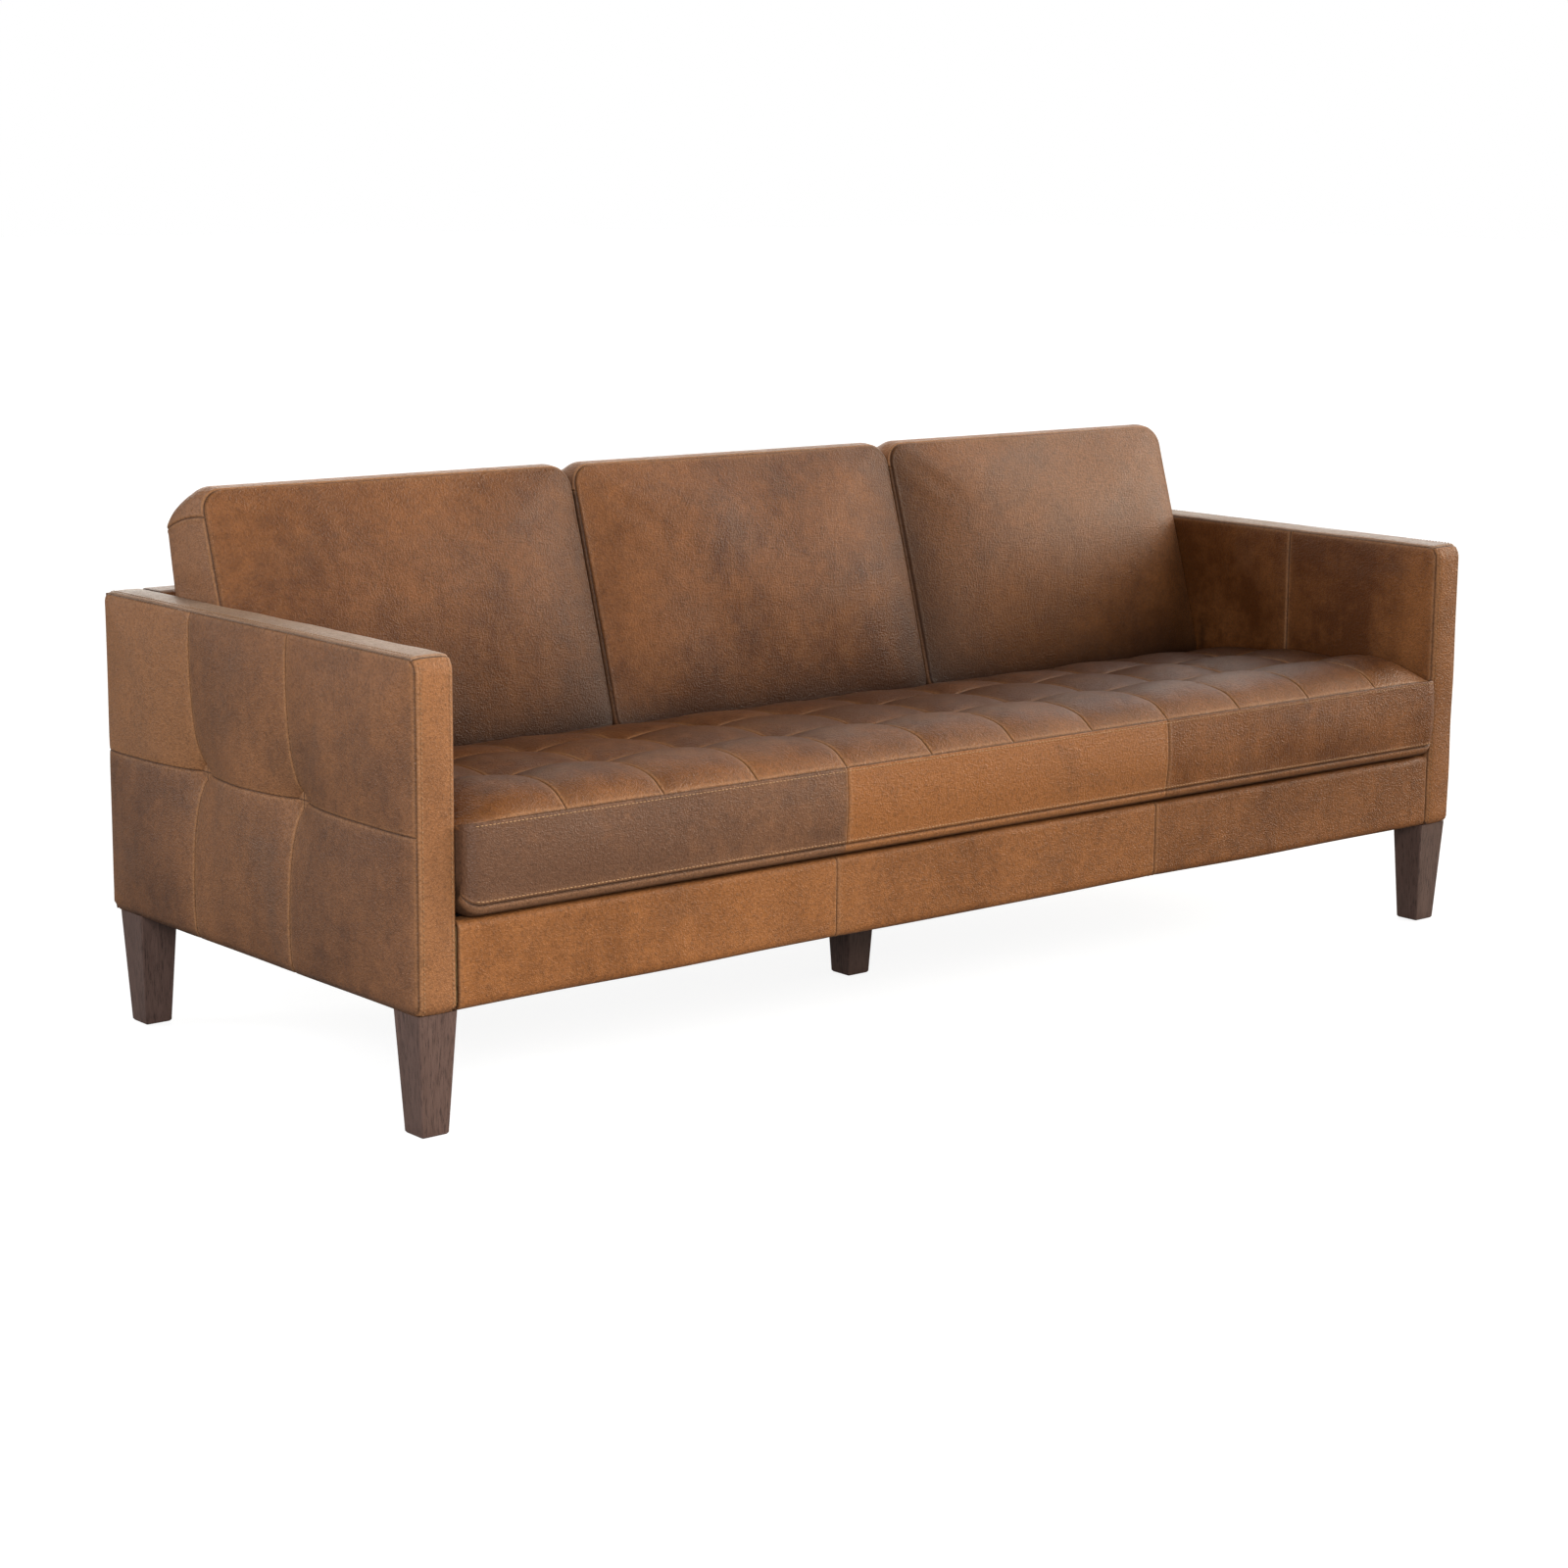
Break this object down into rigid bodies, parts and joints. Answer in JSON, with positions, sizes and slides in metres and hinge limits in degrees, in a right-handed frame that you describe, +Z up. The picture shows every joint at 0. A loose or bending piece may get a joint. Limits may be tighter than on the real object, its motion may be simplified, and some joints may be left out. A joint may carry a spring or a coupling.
{
  "type": "sofa",
  "caption": "Low box-arm sofa in brown leather: tufted bench seat, boxed back cushions, quilted arm sides and tapered dark wooden legs.",
  "frame": {"origin": "on the floor, under the middle of the sofa's bounding box", "axes": "+X along the sofa, to the right as seen from the front; +Y from front to back; +Z up"},
  "size_m": [2.2, 0.876, 0.845],
  "materials": {
    "hide": "waxed, distressed brown",
    "timber": "planed, unfinished",
    "board": "raw board",
    "leg_wood": "dark espresso stain, satin",
    "foam": "open cell foam",
    "cloth": "black non-woven cloth",
    "steel": "plain",
    "glide": "moulded nylon"
  },
  "bodies": {
    "root": {"left_arm_outer_panel": "hide", "left_arm_inner_panel": "hide", "left_arm_front_band": "hide", "left_arm_top_band": "hide", "right_arm_outer_panel": "hide", "right_arm_inner_panel": "hide", "right_arm_front_band": "hide", "right_arm_top_band": "hide", "front_rail_cover": "hide", "back_wall_cover": "hide", "outside_back_cover": "hide", "seat_cover": "hide", "left_back_cover": "hide", "centre_back_cover": "hide", "right_back_cover": "hide", "front_rail": "timber", "rear_seat_rail": "timber", "left_seat_side_rail": "timber", "right_seat_side_rail": "timber", "centre_stretcher": "timber", "side_stretchers": "timber", "corner_blocks": "timber", "left_arm_front_post": "timber", "left_arm_rear_post": "timber", "left_arm_top_rail": "timber", "left_arm_bottom_rail": "timber", "right_arm_front_post": "timber", "right_arm_rear_post": "timber", "right_arm_top_rail": "timber", "right_arm_bottom_rail": "timber", "back_top_rail": "timber", "back_bottom_rail": "timber", "back_stiles": "timber", "arm_boards": "board", "back_board": "board", "left_front_leg": "leg_wood", "right_front_leg": "leg_wood", "left_rear_leg": "leg_wood", "right_rear_leg": "leg_wood", "centre_leg": "leg_wood", "left_arm_foam": "foam", "right_arm_foam": "foam", "back_wall_foam": "foam", "front_rail_foam": "foam", "seat_foam": "foam", "left_back_foam": "foam", "centre_back_foam": "foam", "right_back_foam": "foam", "back_webbing": "cloth", "seat_deck": "cloth", "dust_cover": "cloth", "corner_block_screws": "steel", "frame_bolts": "steel", "frame_nuts": "steel", "seat_springs": "steel", "spring_clips": "steel", "leg_bolts": "steel", "leg_tee_nuts": "steel", "leg_glides": "glide"}
  },
  "joints": []
}
